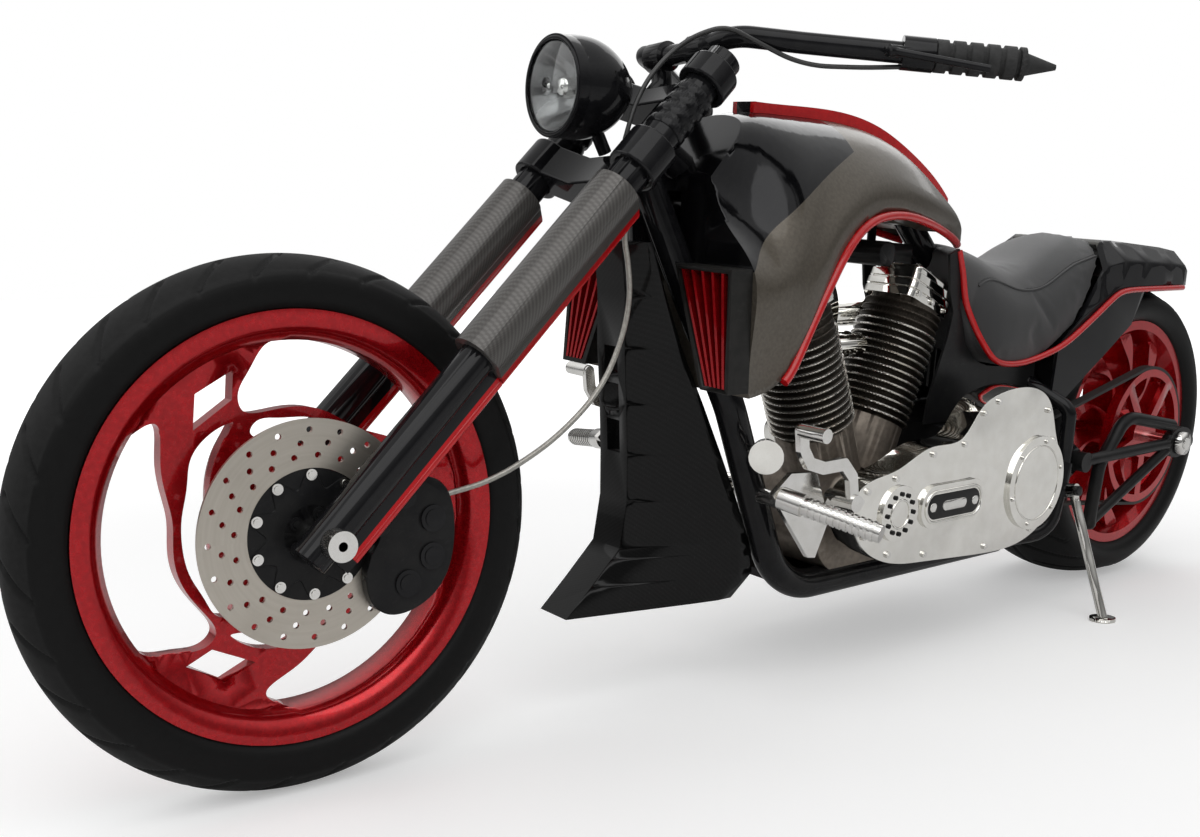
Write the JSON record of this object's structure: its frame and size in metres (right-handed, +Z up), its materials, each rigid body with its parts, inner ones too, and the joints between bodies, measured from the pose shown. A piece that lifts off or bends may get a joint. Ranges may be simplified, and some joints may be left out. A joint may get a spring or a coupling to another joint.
{
  "type": "chopper motorcycle",
  "caption": "Long raked chopper with a finned vee engine, sleeved fork, swept tank, chin fairing, cast wheels and a side stand it leans on.",
  "frame": {"origin": "bottom centre of the bounding box, on the floor under the machine as it leans on its side stand", "axes": "+X rearward along the machine, +Y to the rider's right, +Z up from the floor"},
  "size_m": [2.5977, 0.83, 1.0326],
  "materials": {
    "black_paint": "deep gloss black",
    "black_satin": "satin black",
    "polished_steel": "polished",
    "carbon_panel": "lacquered carbon weave",
    "scoop_black": "satin black",
    "candy_red": "candy red lacquer",
    "tank_paint": "olive grey metallic with a gloss black front",
    "spine_paint": "candy red with a black top",
    "seat_leather": "matt black leather",
    "fender_paint": "gloss black and grey",
    "crankcase_grey": "bead blasted",
    "cylinder_fins": "black with machined fin edges",
    "chrome": "polished chrome",
    "gearbox_black": "satin black",
    "polished_alloy": "polished",
    "coil_black": "moulded",
    "belt_rubber": "toothed belt",
    "caliper_black": "satin black",
    "fork_black": "gloss black",
    "carbon_sleeve": "lacquered carbon weave",
    "grip_rubber": "foam rubber",
    "lever_black": "gloss black",
    "headlight_black": "gloss black",
    "lens_glass": "clear",
    "braided_hose": "braided, clear coated",
    "cable_black": "cable sheath",
    "tyre": "road tyre",
    "disc_steel": "ground stainless",
    "carrier_black": "satin black"
  },
  "bodies": {
    "frame": {"main_frame": "black_paint", "swingarm": "black_satin", "rear_axle": "polished_steel", "chin_fairing": "carbon_panel", "side_scoops": "scoop_black", "scoop_louvres": "candy_red", "fuel_tank": "tank_paint", "tank_spine": "spine_paint", "seat": "seat_leather", "side_covers": "black_satin", "body_trim": "candy_red", "rear_fender": "fender_paint", "oil_tank": "black_paint", "crankcase": "crankcase_grey", "cylinders": "cylinder_fins", "rocker_boxes": "chrome", "primary_cover": "chrome", "transmission": "gearbox_black", "cam_cover": "chrome", "air_cleaner": "chrome", "exhaust": "chrome", "foot_controls": "polished_alloy", "horn": "chrome", "ignition_coil": "coil_black", "drive_belt": "belt_rubber", "rear_caliper": "caliper_black"},
    "steering": {"fork_lowers": "fork_black", "fork_sleeves": "carbon_sleeve", "fork_tubes": "fork_black", "lower_clamp": "fork_black", "upper_clamp": "fork_black", "handlebar": "black_paint", "grips": "grip_rubber", "hand_controls": "lever_black", "headlight_shell": "headlight_black", "headlight_lens": "lens_glass", "front_axle": "polished_steel", "front_caliper": "caliper_black", "brake_hose": "braided_hose", "handlebar_cables": "cable_black"},
    "front_wheel": {"front_tyre": "tyre", "front_rim": "candy_red", "front_disc": "disc_steel", "front_disc_carrier": "carrier_black"},
    "rear_wheel": {"rear_tyre": "tyre", "rear_rim": "candy_red", "rear_pulley": "carrier_black", "rear_disc": "disc_steel"},
    "side_stand": {"side_stand": "chrome"}
  },
  "joints": [
    {"name": "steering", "type": "hinge", "parent": "frame", "child": "steering", "pos_m": [-0.3663, 0.02006, 0.85406], "axis": [0.7071, -0.0616, 0.7044], "range_deg": [-15, 28]},
    {"name": "front_wheel_spin", "type": "hinge", "parent": "steering", "child": "front_wheel", "pos_m": [-0.9494, 0.07044, 0.35069], "axis": [0.0813, 0.9967, 0.0056], "continuous": true},
    {"name": "rear_wheel_spin", "type": "hinge", "parent": "frame", "child": "rear_wheel", "pos_m": [0.97034, 0.06605, 0.32838], "axis": [0, 0.9962, 0.0872], "continuous": true},
    {"name": "side_stand", "type": "hinge", "parent": "frame", "child": "side_stand", "pos_m": [0.60834, -0.13436, 0.244], "axis": [0, -0.9962, 0.0872], "range_deg": [0, 85]}
  ]
}
